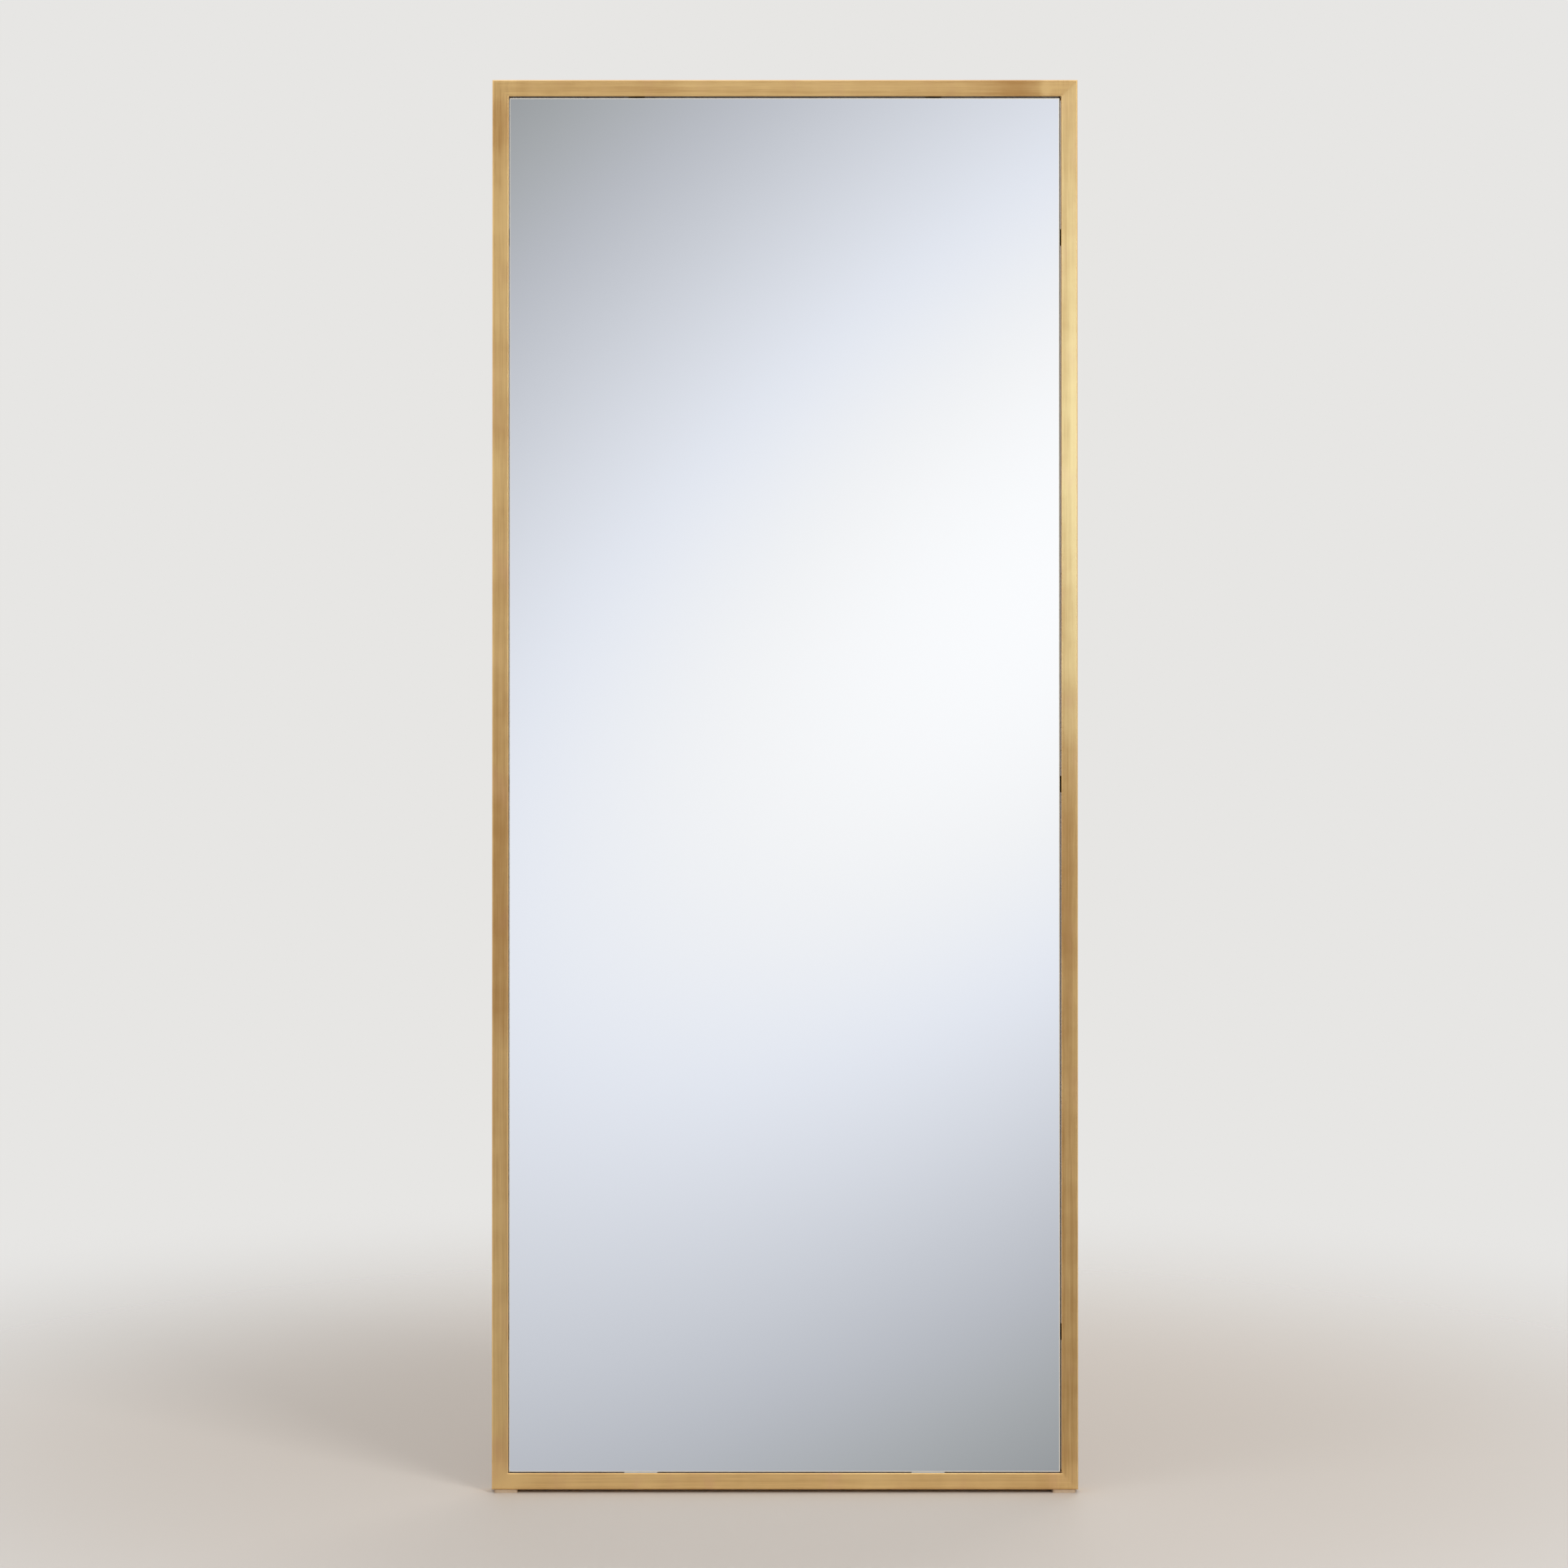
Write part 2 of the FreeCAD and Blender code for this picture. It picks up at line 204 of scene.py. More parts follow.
def linear(colour: str) -> tuple[float, float, float, float]:
    """An sRGB hex colour as linear red, green, blue and a full alpha."""
    shares = [int(colour[place : place + 2], 16) / 255 for place in (1, 3, 5)]
    return (*[s / 12.92 if s <= 0.04045 else ((s + 0.055) / 1.055) ** 2.4 for s in shares], 1.0)


@dataclass
class NodeGraph:
    """A node tree that is being built."""

    tree: bpy.types.NodeTree

    def add(self, kind: str, inputs: dict | tuple = (), output: int | str = 0, **settings: Any) -> Any:
        """Adds one node with its settings and links.

        Args:
            kind: The node's type without its common start, such as Math.
            inputs: A value or another node's socket for each input, in order, or by name or number. A Mix
                node's values are 2 and 3, its vectors 4 and 5, and its colours 6 and 7.
            output: Which output to give back.
            **settings: The node's own settings.

        Returns:
            The output socket, or the node itself if it has none.
        """
        node = self.tree.nodes.new("ShaderNode" + kind)
        for name, value in settings.items():
            setattr(node, name, value)
        for socket, value in inputs.items() if isinstance(inputs, dict) else enumerate(inputs):
            if isinstance(value, bpy.types.NodeSocket):
                self.tree.links.new(value, node.inputs[socket])
            else:
                node.inputs[socket].default_value = value
        return node.outputs[output] if len(node.outputs) else node

    def bell(self, value: Any, middle: float, spread: float) -> Any:
        """A bell curve of the value: e to the power of less half its squared distance from the middle."""
        offset = self.add("Math", (value, middle), operation="SUBTRACT")
        scaled = self.add("Math", (offset, spread), operation="DIVIDE")
        squared = self.add("Math", (scaled, scaled), operation="MULTIPLY")
        halved = self.add("Math", (squared, -0.5), operation="MULTIPLY")
        return self.add("Math", (halved,), operation="EXPONENT")


@dataclass(frozen=True)
class Finish:
    """A surface finish. Each kind of finish fills in its own shader."""

    name: str
    place: Upright

    def shade(self, graph: NodeGraph, point: Any) -> Any:
        """Adds the nodes of the finish.

        Args:
            graph: The material's node tree.
            point: Socket with the upright place of the surface point, in millimetres.

        Returns:
            The shader's output socket.
        """
        raise NotImplementedError

    def material(self) -> bpy.types.Material:
        """Builds the material."""
        made = bpy.data.materials.new(self.name)
        made.use_nodes = True
        made.node_tree.nodes.clear()
        graph = NodeGraph(made.node_tree)
        inputs = {
            "Vector": graph.add("TexCoord", output="Object"),
            "Rotation": (self.place.lean, 0, 0),
            "Scale": (1 / MM, 1 / MM, 1 / MM),
            "Location": self.place.shift,
        }
        shader = self.shade(graph, graph.add("Mapping", inputs))
        graph.add("OutputMaterial", {"Surface": shader})
        return made

    @staticmethod
    def grain(graph: NodeGraph, point: Any, size: tuple[float, float, float], detail: float = 3.0) -> Any:
        """Soft noise from 0 to 1 whose marks are as long as size along each upright axis, in millimetres."""
        scaled = graph.add("VectorMath", (point, tuple(1 / s for s in size)), operation="MULTIPLY")
        return graph.add("TexNoise", {"Vector": scaled, "Scale": 1.0, "Detail": detail, "Roughness": 0.55})

    def towards_front(self, graph: NodeGraph) -> Any:
        """How far the surface faces forwards: 1 on a front face, 0 on a side, -1 on a back."""
        normal = graph.add("NewGeometry", output="Normal")
        return graph.add("VectorMath", (normal, self.place.facing()), 1, operation="DOT_PRODUCT")

    @staticmethod
    def inset(graph: NodeGraph, point: Any, low: np.ndarray, high: np.ndarray) -> tuple[Any, Any]:
        """How far a point lies inside an upright box, from its nearer side and from its nearer end."""
        x, _, z = graph.add("SeparateXYZ", (point,)).node.outputs
        insets = []
        for value, start, end in ((x, low[0], high[0]), (z, low[2], high[2])):
            offset = graph.add("Math", (value, (start + end) / 2), operation="SUBTRACT")
            from_middle = graph.add("Math", (offset,), operation="ABSOLUTE")
            insets.append(graph.add("Math", ((end - start) / 2, from_middle), operation="SUBTRACT"))
        return insets[0], insets[1]


# ---- Finishes ----

# Reach of a mark that runs across the whole frame, in millimetres
WHOLE_WIDTH = 9999.0


@dataclass(frozen=True)
class Mark:
    """A darker or paler spot: its upright place and reach in millimetres, and the change of tone."""

    across: float
    height: float
    half_width: float
    half_height: float
    change: float


@dataclass(frozen=True)
class BrushedBrass(Finish):
    """Antique brass: brass plate on steel tube, brushed lengthways, aged with a dark wash and lacquered.

    It gives the eye fine streaks along each tube, soft darker and redder clouds, and a highlight that
    spreads across the tube but stays short along it. The single brush lines are 0.4 mm wide, and the
    streaks, which are bundles of them, 1.6 mm. All lengths are in millimetres.
    """

    pale: str = "#EBC481"
    deep: str = "#BE8E50"
    reddish: str = "#DCA67A"
    slot_shade_colour: str = "#3A2C1C"
    line_width: float = 0.4
    line_length: float = 45.0
    streak_width: float = 1.6
    streak_length: float = 170.0
    band_width: float = 7.0
    band_length: float = 520.0
    cloud_size: float = 70.0
    swirl_length: float = 22.0
    redness_size: tuple[float, float, float] = (38.0, 38.0, 90.0)
    base_tone: float = -0.37
    line_tone: float = 0.6
    streak_tone: float = 0.4
    band_tone: float = 0.75
    cloud_tone: float = 0.8
    ground_tone: float = 0.4
    tone_range: tuple[float, float] = (0.35, 1.3)
    redness: Ramp = (0.5, 0.8, 0.0, 0.45)
    roughness: Ramp = (0.2, 0.8, 0.27, 0.41)
    line_relief: float = 0.01
    slot_front: tuple[float, float] = (1.2, 1.6)
    slot_back: tuple[float, float] = (7.0, 8.0)
    face_slack: float = 0.06
    mitre_blend: float = 3.0
    ground_reach: float = 40.0
    ground_edge: float = 20.0
    marks: tuple[Mark, ...] = (
        # A darker band across the stiles at mid height: painted shade, the darker reflection the stiles show
        # there
        Mark(0.0, 735.0, WHOLE_WIDTH, 160.0, -0.31),
        # A darker spot on the top rail just short of its right-hand weld
        Mark(276.0, 1705.0, 22.0, 60.0, -0.28),
        # A paler spot high on the left stile: painted highlight
        Mark(-350.0, 1522.0, 40.0, 55.0, 0.16),
        # A small bright spot at the right-hand end of the top rail: painted highlight
        Mark(317.0, 1699.0, 4.5, 9.0, 0.5),
        # A darker spot at the top of the left stile
        Mark(-350.0, 1665.0, 40.0, 32.0, -0.3),
        # The lower part of the right stile darker: painted shade, where its reflection is darker
        Mark(350.0, 190.0, 40.0, 190.0, -0.2),
        # A pale strip along the outer edge of the right stile: painted highlight
        Mark(356.0, 1000.0, 6.5, 700.0, 0.3),
        # Paler at the foot of the left stile
        Mark(-350.0, 90.0, 60.0, 130.0, 0.12),
        # Paler in the middle of the bottom rail, and in the middle of the top rail
        Mark(0.0, 0.0, 200.0, 60.0, 0.14),
        Mark(0.0, 1705.0, 90.0, 60.0, 0.14),
    )

    def bars(self, graph: NodeGraph, point: Any) -> tuple[Any, Any, Any]:
        """Which tube a point is on, and how near it is to a corner or to the glass.

        The rails' share is 0 on the stiles and 1 on the rails, and changes at the mitre, where the
        distances from the frame's side and from its end are equal. The slot's share is 1 on the faces
        beside the edge of the glass, where the dark colour is painted shade that falls in the slot.

        Returns:
            The rails' share, the share of the ground corners, and the slot's share.
        """
        low = np.array([-self.place.width / 2, 0.0, 0.0])
        high = np.array([self.place.width / 2, self.place.depth, self.place.height])
        from_side, from_end = self.inset(graph, point, low, high)
        nearer = graph.add("Math", (from_side, from_end), operation="SUBTRACT")
        rail = graph.add("MapRange", (nearer, -self.mitre_blend, self.mitre_blend), **SMOOTHLY)
        farthest = graph.add("Math", (from_side, from_end), operation="MAXIMUM")
        start = self.ground_reach - self.ground_edge
        ground = graph.add("MapRange", (farthest, start, self.ground_reach, 1, 0), **SMOOTHLY)

        # A tab starts at the tube's inner face
        inner, _ = self.place.box("fixing_tab_left_1")
        face = inner[0] + self.place.width / 2
        nearest = graph.add("Math", (from_side, from_end), operation="MINIMUM")
        edge = face - self.face_slack
        inside = graph.add("MapRange", (nearest, edge - self.face_slack, edge), **SMOOTHLY)
        depth = graph.add("SeparateXYZ", (point,), "Y")
        behind = graph.add("MapRange", (depth, *self.slot_front), **SMOOTHLY)
        before = graph.add("MapRange", (depth, *self.slot_back, 1, 0), **SMOOTHLY)
        slot = graph.add("Math", (inside, behind), operation="MULTIPLY")
        return rail, ground, graph.add("Math", (slot, before), operation="MULTIPLY")

    def streaks(self, graph: NodeGraph, point: Any, rail: Any, width: float, length: float) -> Any:
        """Noise drawn out along each tube, from 0 to 1."""
        upright = self.grain(graph, point, (width, width, length))
        level = self.grain(graph, point, (length, width, width))
        return graph.add("Mix", {0: rail, 2: upright, 3: level})

    def add_painted_light_and_tone_marks(self, graph: NodeGraph, point: Any, tone: Any) -> Any:
        """Adds the marks to the tone; several of them are painted highlights and painted shade on the brass.
        """
        x, _, z = graph.add("SeparateXYZ", (point,)).node.outputs
        for mark in self.marks:
            across = graph.bell(x, mark.across, mark.half_width)
            up = graph.bell(z, mark.height, mark.half_height)
            spot = graph.add("Math", (across, up), operation="MULTIPLY")
            tone = graph.add("Math", (spot, mark.change, tone), operation="MULTIPLY_ADD")
        return tone

    def shade(self, graph: NodeGraph, point: Any) -> Any:
        """Adds the nodes of the brushed brass."""
        rail, ground, slot = self.bars(graph, point)
        lines = self.streaks(graph, point, rail, self.line_width, self.line_length)
        fine = self.streaks(graph, point, rail, self.streak_width, self.streak_length)
        bands = self.streaks(graph, point, rail, self.band_width, self.band_length)
        clouds = self.grain(graph, point, (self.cloud_size,) * 3)
        swirl = self.grain(graph, point, (self.streak_width * 2, self.streak_width * 2, self.swirl_length))

        tone = self.base_tone
        for pattern, weight in (
            (lines, self.line_tone),
            (fine, self.streak_tone),
            (bands, self.band_tone),
            (clouds, self.cloud_tone),
        ):
            tone = graph.add("Math", (pattern, weight, tone), operation="MULTIPLY_ADD")
        tone = self.add_painted_light_and_tone_marks(graph, point, tone)
        polished = graph.add("Math", (swirl, ground), operation="MULTIPLY")
        tone = graph.add("Math", (polished, self.ground_tone, tone), operation="MULTIPLY_ADD")
        share = graph.add("MapRange", (tone, *self.tone_range), **SMOOTHLY)
        colour = graph.add("Mix", {0: share, 6: linear(self.deep), 7: linear(self.pale)}, 2, **COLOURS)
        redness = self.grain(graph, point, self.redness_size)
        redder = graph.add("MapRange", (redness, *self.redness), **SMOOTHLY)
        colour = graph.add("Mix", {0: redder, 6: colour, 7: linear(self.reddish)}, 2, **COLOURS)
        # Painted shade: the faces in the slot beside the glass are coloured dark
        colour = graph.add("Mix", {0: slot, 6: colour, 7: linear(self.slot_shade_colour)}, 2, **COLOURS)

        brush = {0: rail, 4: self.place.along_stiles(), 5: (1.0, 0.0, 0.0)}
        brush = graph.add("Mix", brush, 1, data_type="VECTOR")
        normal = graph.add("NewGeometry", output="Normal")
        across = graph.add("VectorMath", (normal, brush), operation="CROSS_PRODUCT")
        bump = graph.add("Bump", {"Height": lines, "Strength": 0.25, "Distance": self.line_relief * MM})
        return graph.add(
            "BsdfPrincipled",
            {
                "Base Color": colour,
                "Metallic": 1.0,
                "Roughness": graph.add("MapRange", (lines, *self.roughness), **SMOOTHLY),
                "Anisotropic": 0.7,
                "Tangent": across,
                "Normal": bump,
                "Coat Weight": 0.45,
                "Coat Roughness": 0.22,
            },
        )


@dataclass(frozen=True)
class SilveredGlass(Finish):
    """Mirror glass: float glass, silvered and painted on its back, with ground edges.

    It gives the eye a clear reflection in front, a thin frosted cream line round the rim where the seam is
    ground, and a flat grey back.
    """

    silver: str = "#F4F6F6"
    ground_edge: str = "#F4EFE4"
    ground_hollow: str = "#DDD8CA"
    back_paint: str = "#8C8F90"
    seam: tuple[float, float] = (0.9, 1.1)
    grit: float = 0.8
    facing: tuple[float, float] = (0.85, 0.95)
    seam_roughness: tuple[float, float] = (0.2, 0.3)

    def shade(self, graph: NodeGraph, point: Any) -> Any:
        """Adds the nodes of the silvered glass."""
        front = self.towards_front(graph)
        is_front = graph.add("MapRange", (front, *self.facing), **SMOOTHLY)
        is_back = graph.add("MapRange", (front, *(-share for share in self.facing)), **SMOOTHLY)
        from_side, from_end = self.inset(graph, point, *self.place.box("mirror_glass"))
        from_rim = graph.add("Math", (from_side, from_end), operation="MINIMUM")
        clear = graph.add("MapRange", (from_rim, *self.seam), **SMOOTHLY)
        mirror = graph.add("Math", (is_front, clear), operation="MULTIPLY")
        grit = self.grain(graph, point, (self.grit,) * 3)
        edge = {0: grit, 6: linear(self.ground_edge), 7: linear(self.ground_hollow)}
        edge = graph.add("Mix", edge, 2, **COLOURS)
        colour = graph.add("Mix", {0: is_back, 6: edge, 7: linear(self.back_paint)}, 2, **COLOURS)
        colour = graph.add("Mix", {0: mirror, 6: colour, 7: linear(self.silver)}, 2, **COLOURS)
        roughness = graph.add("Math", (grit, *self.seam_roughness), operation="MULTIPLY_ADD")
        roughness = graph.add("Mix", {0: mirror, 2: roughness, 3: 0.0})
        inputs = {"Base Color": colour, "Metallic": mirror, "Roughness": roughness}
        return graph.add("BsdfPrincipled", inputs)


@dataclass(frozen=True)
class Fibreboard(Finish):
    """Raw medium-density fibreboard, pressed from fine wood fibre and sanded.

    It gives the eye an even warm brown with short pale and dark fibres and a faint cloudiness. Its front
    face is coloured near black as painted shade, so that the slot round the glass looks dark.
    """

    slot_shade_face: str = "#1D1A17"
    body: str = "#A88962"
    pale_fibre: str = "#BFA27B"
    dark_fibre: str = "#7E6142"
    fibre: tuple[float, float, float] = (2.6, 0.8, 1.1)
    fleck: float = 1.3
    cloud_size: float = 260.0
    cloudy: Ramp = (0.0, 1.0, 0.1, 0.6)
    pale: Ramp = (0.5, 0.75, 0.0, 0.6)
    dark: Ramp = (0.62, 0.82, 0.0, 0.5)
    facing: tuple[float, float] = (0.5, 0.9)
    roughness: Ramp = (0.0, 1.0, 0.7, 0.92)
    fibre_relief: float = 0.06

    def shade(self, graph: NodeGraph, point: Any) -> Any:
        """Adds the nodes of the fibreboard."""
        clouds = self.grain(graph, point, (self.cloud_size,) * 3)
        fibres = self.grain(graph, point, self.fibre, 4.0)
        flecks = self.grain(graph, point, (self.fleck,) * 3, 2.0)
        colour = linear(self.body)
        for pattern, ramp, shown in (
            (clouds, self.cloudy, self.pale_fibre),
            (fibres, self.pale, self.pale_fibre),
            (flecks, self.dark, self.dark_fibre),
            # Painted shade: the front face near black, for the dark slot round the glass
            (self.towards_front(graph), (*self.facing, 0.0, 1.0), self.slot_shade_face),
        ):
            share = graph.add("MapRange", (pattern, *ramp), **SMOOTHLY)
            colour = graph.add("Mix", {0: share, 6: colour, 7: linear(shown)}, 2, **COLOURS)
        roughness = graph.add("MapRange", (fibres, *self.roughness), **SMOOTHLY)
        bump = graph.add("Bump", {"Height": fibres, "Strength": 0.35, "Distance": self.fibre_relief * MM})
        return graph.add("BsdfPrincipled", {"Base Color": colour, "Roughness": roughness, "Normal": bump})


@dataclass(frozen=True)
class ZincPlate(Finish):
    """Bright zinc plate with a clear passivation, on stamped and folded mild steel.

    It gives the eye a cool silver metal with a faint rolled grain, and slight blue and straw clouds.
    """

    metal: str = "#C3C7CA"
    straw: str = "#CBC6B6"
    bluish: str = "#B4BDC8"
    cloud_size: float = 9.0
    rolled: tuple[float, float, float] = (0.5, 0.5, 6.0)
    strawy: Ramp = (0.45, 0.7, 0.0, 0.8)
    bluer: Ramp = (0.5, 0.3, 0.0, 0.8)
    roughness: Ramp = (0.2, 0.8, 0.26, 0.44)
    grain_relief: float = 0.02

    def shade(self, graph: NodeGraph, point: Any) -> Any:
        """Adds the nodes of the zinc plate."""
        clouds = self.grain(graph, point, (self.cloud_size,) * 3, 2.0)
        rolled = self.grain(graph, point, self.rolled)
        colour = linear(self.metal)
        for ramp, shown in ((self.strawy, self.straw), (self.bluer, self.bluish)):
            share = graph.add("MapRange", (clouds, *ramp), **SMOOTHLY)
            colour = graph.add("Mix", {0: share, 6: colour, 7: linear(shown)}, 2, **COLOURS)
        roughness = graph.add("MapRange", (rolled, *self.roughness), **SMOOTHLY)
        bump = graph.add("Bump", {"Height": rolled, "Strength": 0.2, "Distance": self.grain_relief * MM})
        return graph.add(
            "BsdfPrincipled",
            {"Base Color": colour, "Metallic": 1.0, "Roughness": roughness, "Normal": bump},
        )


@dataclass(frozen=True)
class UnbrushedPlate(Finish):
    """Brass plate on the weld beads and the tabs behind, which no brush reaches.

    It gives the eye a duller, browner metal with a fine mottle from the scale under the plate.
    """

    crest: str = "#B18A55"
    valley: str = "#7D5C36"
    mottle: float = 1.2
    roughness: Ramp = (0.0, 1.0, 0.55, 0.38)
    scale_relief: float = 0.05

    def shade(self, graph: NodeGraph, point: Any) -> Any:
        """Adds the nodes of the unbrushed plate."""
        scale = self.grain(graph, point, (self.mottle,) * 3)
        colour = graph.add("Mix", {0: scale, 6: linear(self.valley), 7: linear(self.crest)}, 2, **COLOURS)
        roughness = graph.add("MapRange", (scale, *self.roughness), **SMOOTHLY)
        bump = graph.add("Bump", {"Height": scale, "Strength": 0.4, "Distance": self.scale_relief * MM})
        return graph.add(
            "BsdfPrincipled",
            {"Base Color": colour, "Metallic": 1.0, "Roughness": roughness, "Normal": bump},
        )


class SoftKind(Enum):
    """The moulded and foamed plastics: colour, dusty colour, roughness, and grain size in millimetres."""

    BLACK_RUBBER = ("#222323", "#3B3A38", 0.72, 0.7)
    TAN_RUBBER = ("#C2AA8D", "#AE9478", 0.5, 0.9)
    FOAM = ("#E9E9E5", "#CFCFC9", 0.9, 0.6)
    SHIM_PLASTIC = ("#D9D8D2", "#C6C4BC", 0.45, 1.5)


@dataclass(frozen=True)
class MouldedSoft(Finish):
    """Moulded rubber, polypropylene or closed-cell foam, whichever the kind says.

    It gives the eye a matt skin with a fine stipple from the mould, a little dust in its hollows, and no
    clear reflection.
    """

    kind: SoftKind = SoftKind.BLACK_RUBBER
    grains_per_cloud: float = 12.0
    dusty: Ramp = (0.4, 0.75, 0.0, 0.7)
    roughness_spread: float = 0.08
    stipple_relief: float = 0.08

    def shade(self, graph: NodeGraph, point: Any) -> Any:
        """Adds the nodes of the moulded piece."""
        body, dust, rough, size = self.kind.value
        stipple = self.grain(graph, point, (size,) * 3, 2.0)
        clouds = self.grain(graph, point, (size * self.grains_per_cloud,) * 3)
        dusty = graph.add("MapRange", (clouds, *self.dusty), **SMOOTHLY)
        colour = graph.add("Mix", {0: dusty, 6: linear(body), 7: linear(dust)}, 2, **COLOURS)
        smoothest, roughest = rough - self.roughness_spread, rough + self.roughness_spread
        roughness = graph.add("MapRange", (stipple, 0, 1, smoothest, roughest), **SMOOTHLY)
        bump = graph.add("Bump", {"Height": stipple, "Strength": 0.5, "Distance": self.stipple_relief * MM})
        return graph.add("BsdfPrincipled", {"Base Color": colour, "Roughness": roughness, "Normal": bump})


# ---- Sub-assemblies ----


@dataclass
class SubAssembly:
    """A group of pieces that are finished together."""

    place: Upright

    def dress(self, names: list[str], finish: Finish) -> None:
        """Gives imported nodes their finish."""
        material = finish.material()
        for name in names:
            node = frame["nodes"][name]
            node.data.materials.clear()
            node.data.materials.append(material)
            node.data.polygons.foreach_set("material_index", np.zeros(len(node.data.polygons), np.int32))
            log.info("%s: %s", name, finish.name)

    def add_piece(self, name: str, surfaces: list[np.ndarray], finish: Finish, slot: str) -> bpy.types.Object:
        """Adds a new piece with its finish."""
        piece = make_piece(name, surfaces, self.place)
        piece.data.materials.append(finish.material())
        log.info("%s: %d faces, %s", name, len(piece.data.polygons), finish.name)
        return piece


@dataclass
class WeldedFrame(SubAssembly):
    """The four tubes, the tabs welded inside them, and the weld beads."""

    tab_nodes: list[str] = field(default_factory=list)
    bead_radius: float = 1.7
    bead_rows: int = 56
    bead_columns: int = 14
    ripple_pitch: float = 1.5
    ripple_height: float = 0.09
    corner_bead_radius: float = 2.4
    board_clearance: float = 0.6
    back_clearance: float = 1.6

    def bead(self, start: np.ndarray, end: np.ndarray, radius: float) -> np.ndarray:
        """A weld bead from start to end.

        Each ring's radius is the bead's radius times the root of one less the sixth power of the place
        along it, from -1 to 1, which rounds the ends, and a sine adds the ripples.

        Returns:
            Array of rows by columns by 3, upright.
        """
        along = end - start
        length = float(np.linalg.norm(along))
        heading = along / length
        runs_back = abs(heading[1]) > max(abs(heading[0]), abs(heading[2]))
        side = np.array([1.0, 0.0, 0.0]) if runs_back else np.cross(heading, [0.0, 1.0, 0.0])
        other = np.cross(heading, side)
        spot = np.sin(np.linspace(-np.pi / 2, np.pi / 2, self.bead_rows))[:, None]
        turn = np.linspace(0, 2 * np.pi, self.bead_columns, endpoint=False)[None, :]
        ripple = 1 + self.ripple_height * np.sin(spot * length * np.pi / self.ripple_pitch)
        ring = radius * np.sqrt(np.clip(1 - spot**6, 0, 1)) * ripple
        middle = start + along / 2
        offset = spot * length / 2 + 0 * turn
        return (
            middle
            + offset[..., None] * heading
            + (ring * np.cos(turn))[..., None] * side
            + (ring * np.sin(turn))[..., None] * other
        )

    def tab_beads(self) -> list[np.ndarray]:
        """One bead behind each tab, along the line where it meets its tube."""
        beads = []
        half_width, half_height = self.place.width / 2, self.place.height / 2
        for name in self.tab_nodes:
            low, high = self.place.box(name)
            start, end = low.copy(), high.copy()
            start[1] = end[1] = high[1]
            level = min(low[2], self.place.height - high[2]) < min(low[0], -high[0]) + half_width
            if level:
                root = low[2] if low[2] < half_height else high[2]
                start[2] = end[2] = root
            else:
                root = low[0] if low[0] < 0 else high[0]
                start[0] = end[0] = root
            beads.append(self.bead(start, end, self.bead_radius))
        return beads

    def corner_beads(self) -> list[np.ndarray]:
        """One bead in each inner corner of the frame, from behind the board to near the back."""
        board_low, board_high = self.place.box("backing_board")
        tab_low, _ = self.place.box("fixing_tab_bottom_1")
        gap = board_low[2] - tab_low[2]
        beads = []
        for x in (board_low[0] - gap, board_high[0] + gap):
            for z in (board_low[2] - gap, board_high[2] + gap):
                start = np.array([x, board_high[1] + self.corner_bead_radius + self.board_clearance, z])
                end = np.array([x, self.place.depth - self.back_clearance, z])
                beads.append(self.bead(start, end, self.corner_bead_radius))
        return beads

    def build(self) -> None:
        """Finishes the tubes and tabs and adds the beads."""
        brass = BrushedBrass("antique_brass_brushed", self.place)
        plate = UnbrushedPlate("antique_brass_unbrushed", self.place)
        self.dress(["left_stile", "right_stile", "top_rail", "bottom_rail"], brass)
        self.dress(self.tab_nodes, plate)
        self.add_piece("tab_weld_beads", self.tab_beads(), plate, "antique_brass")
        self.add_piece("corner_weld_beads", self.corner_beads(), plate, "antique_brass")


@dataclass
class GlazedPanel(SubAssembly):
    """The silvered glass with its shims, foam tapes and backing board."""

    def build(self) -> None:
        """Finishes the panel's layers."""
        self.dress(["mirror_glass"], SilveredGlass("silvered_float_glass", self.place))
        self.dress(["backing_board"], Fibreboard("fibreboard_sanded", self.place))
        self.dress(nodes_named("foam_tape"), MouldedSoft("foam_tape_closed_cell", self.place, SoftKind.FOAM))
        shims = MouldedSoft("polypropylene_moulded", self.place, SoftKind.SHIM_PLASTIC)
        self.dress(nodes_named("glass_shim"), shims)


